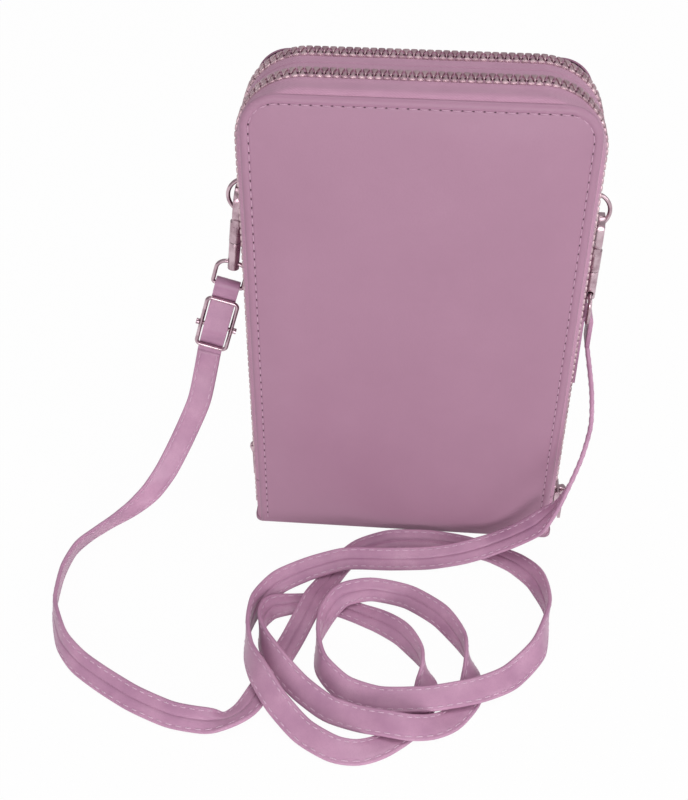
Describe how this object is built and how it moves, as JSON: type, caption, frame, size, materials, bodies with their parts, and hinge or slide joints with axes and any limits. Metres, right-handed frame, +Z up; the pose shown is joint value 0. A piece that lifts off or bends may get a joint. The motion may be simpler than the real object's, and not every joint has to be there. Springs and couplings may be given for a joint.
{
  "type": "crossbody phone pouch",
  "caption": "Upright flat pouch with zip-around leather covers on a stiff divider, wire rings, swivel clasps, and a flat adjustable shoulder strap lying in loops.",
  "frame": {"origin": "middle of the pouch on the surface that it stands on", "axes": "+Z up, +X to the side whose front zip slider is parked low, -Y out of the front cover"},
  "size_m": [0.1973, 0.1513, 0.187],
  "materials": {
    "pouch_leather": "fine smooth grain, soft sheen",
    "strap_leather": "smooth, soft sheen, stitched",
    "zip_tape": "woven tape",
    "stiffener_board": "pressed fibre board",
    "lining_cloth": "plain weave",
    "zip_metal": "dark nickel",
    "hardware_metal": "bright nickel"
  },
  "bodies": {
    "pouch_core": {"divider_board": "stiffener_board", "divider_front_lining": "lining_cloth", "divider_rear_lining": "lining_cloth", "base_strip": "pouch_leather", "front_inner_tape": "zip_tape", "rear_inner_tape": "zip_tape", "front_inner_teeth": "zip_metal", "rear_inner_teeth": "zip_metal", "front_zip_ends": "zip_tape", "rear_zip_ends": "zip_tape", "front_end_teeth": "zip_metal", "rear_end_teeth": "zip_metal", "bottom_stops": "zip_metal", "card_pocket_1": "lining_cloth", "card_pocket_2": "lining_cloth", "card_pocket_3": "lining_cloth", "card_pocket_4": "lining_cloth", "phone_pocket": "lining_cloth", "front_left_gusset": "lining_cloth", "front_right_gusset": "lining_cloth", "rear_left_gusset": "lining_cloth", "rear_right_gusset": "lining_cloth", "left_tab": "pouch_leather", "right_tab": "pouch_leather", "strap": "strap_leather"},
    "front_cover": {"front_panel": "pouch_leather", "front_board": "stiffener_board", "front_lining": "lining_cloth", "front_outer_tape": "zip_tape", "front_outer_teeth": "zip_metal"},
    "rear_cover": {"rear_panel": "pouch_leather", "rear_board": "stiffener_board", "rear_lining": "lining_cloth", "rear_outer_tape": "zip_tape", "rear_outer_teeth": "zip_metal"},
    "front_slider": {"front_slider": "hardware_metal"},
    "front_pull": {"front_pull": "hardware_metal"},
    "rear_slider": {"rear_slider": "hardware_metal"},
    "rear_pull": {"rear_pull": "hardware_metal"},
    "left_ring": {"left_ring": "hardware_metal"},
    "left_hook": {"left_hook": "hardware_metal", "left_lever_pin": "hardware_metal"},
    "left_lever": {"left_lever": "hardware_metal"},
    "left_swivel": {"left_swivel": "hardware_metal"},
    "left_loop": {"left_loop": "hardware_metal", "left_strap_end": "strap_leather", "buckle_frame": "hardware_metal", "buckle_bar": "hardware_metal"},
    "right_ring": {"right_ring": "hardware_metal"},
    "right_hook": {"right_hook": "hardware_metal", "right_lever_pin": "hardware_metal"},
    "right_lever": {"right_lever": "hardware_metal"},
    "right_swivel": {"right_swivel": "hardware_metal"},
    "right_loop": {"right_loop": "hardware_metal", "right_strap_end": "strap_leather"}
  },
  "joints": [
    {"name": "front_cover_hinge", "type": "hinge", "parent": "pouch_core", "child": "front_cover", "pos_m": [0, -0.0204, 0.0006], "axis": [1, 0, 0], "range_deg": [0, 15], "deforming": ["front_left_gusset", "front_right_gusset"]},
    {"name": "rear_cover_hinge", "type": "hinge", "parent": "pouch_core", "child": "rear_cover", "pos_m": [0, 0.0204, 0.0006], "axis": [-1, 0, 0], "range_deg": [0, 15], "deforming": ["rear_left_gusset", "rear_right_gusset"]},
    {"name": "front_slider_slide", "type": "slide", "parent": "pouch_core", "child": "front_slider", "axis": [0, 0, 1], "range_m": [0, 0.03]},
    {"name": "rear_slider_slide", "type": "slide", "parent": "pouch_core", "child": "rear_slider", "axis": [0, 0, 1], "range_m": [0, 0.1]},
    {"name": "front_pull_hinge", "type": "hinge", "parent": "front_slider", "child": "front_pull", "pos_m": [0.06235, -0.008, 0.01555], "axis": [0, -1, 0], "range_deg": [0, 150]},
    {"name": "rear_pull_hinge", "type": "hinge", "parent": "rear_slider", "child": "rear_pull", "pos_m": [-0.06235, 0.008, 0.01555], "axis": [0, 1, 0], "range_deg": [0, 150]},
    {"name": "left_ring_hinge", "type": "hinge", "parent": "pouch_core", "child": "left_ring", "pos_m": [-0.058, 0, 0.137], "axis": [0, 0, 1], "range_deg": [-6, 6], "deforming": ["strap"]},
    {"name": "left_hook_lean", "type": "hinge", "parent": "left_ring", "child": "left_hook", "pos_m": [-0.05962, 0, 0.14073], "axis": [0, 1, 0], "range_deg": [0, 12], "deforming": ["strap"]},
    {"name": "left_lever_hinge", "type": "hinge", "parent": "left_hook", "child": "left_lever", "pos_m": [-0.06219, 0.0029, 0.12895], "axis": [0.9934, 0, -0.1149], "range_deg": [0, 15], "stiffness_Nm_per_rad": 0.0002, "springref_deg": -17.19},
    {"name": "left_swivel_turn", "type": "hinge", "parent": "left_hook", "child": "left_swivel", "pos_m": [-0.06442, 0, 0.10963], "axis": [0.1149, 0, 0.9934], "range_deg": [-20, 20], "deforming": ["strap"]},
    {"name": "left_loop_swing", "type": "hinge", "parent": "left_swivel", "child": "left_loop", "pos_m": [-0.06442, 0, 0.10963], "axis": [0.9613, 0, -0.2756], "range_deg": [-12, 12], "deforming": ["strap"]},
    {"name": "right_ring_hinge", "type": "hinge", "parent": "pouch_core", "child": "right_ring", "pos_m": [0.058, 0, 0.137], "axis": [0, 0, 1], "range_deg": [-5, 5], "deforming": ["strap"]},
    {"name": "right_hook_swing", "type": "hinge", "parent": "right_ring", "child": "right_hook", "pos_m": [0.0622, 0, 0.13165], "axis": [0, -1, 0], "range_deg": [0, 8], "deforming": ["strap"]},
    {"name": "right_lever_hinge", "type": "hinge", "parent": "right_hook", "child": "right_lever", "pos_m": [0.0622, 0.0029, 0.12395], "axis": [1, 0, 0], "range_deg": [0, 6], "stiffness_Nm_per_rad": 0.0002, "springref_deg": -17.19},
    {"name": "right_swivel_turn", "type": "hinge", "parent": "right_hook", "child": "right_swivel", "pos_m": [0.0622, 0, 0.1045], "axis": [0, 0, 1], "range_deg": [-6, 6], "deforming": ["strap"]},
    {"name": "right_loop_swing", "type": "hinge", "parent": "right_swivel", "child": "right_loop", "pos_m": [0.0622, 0, 0.1045], "axis": [0, -1, 0], "range_deg": [0, 15], "deforming": ["strap"]}
  ]
}
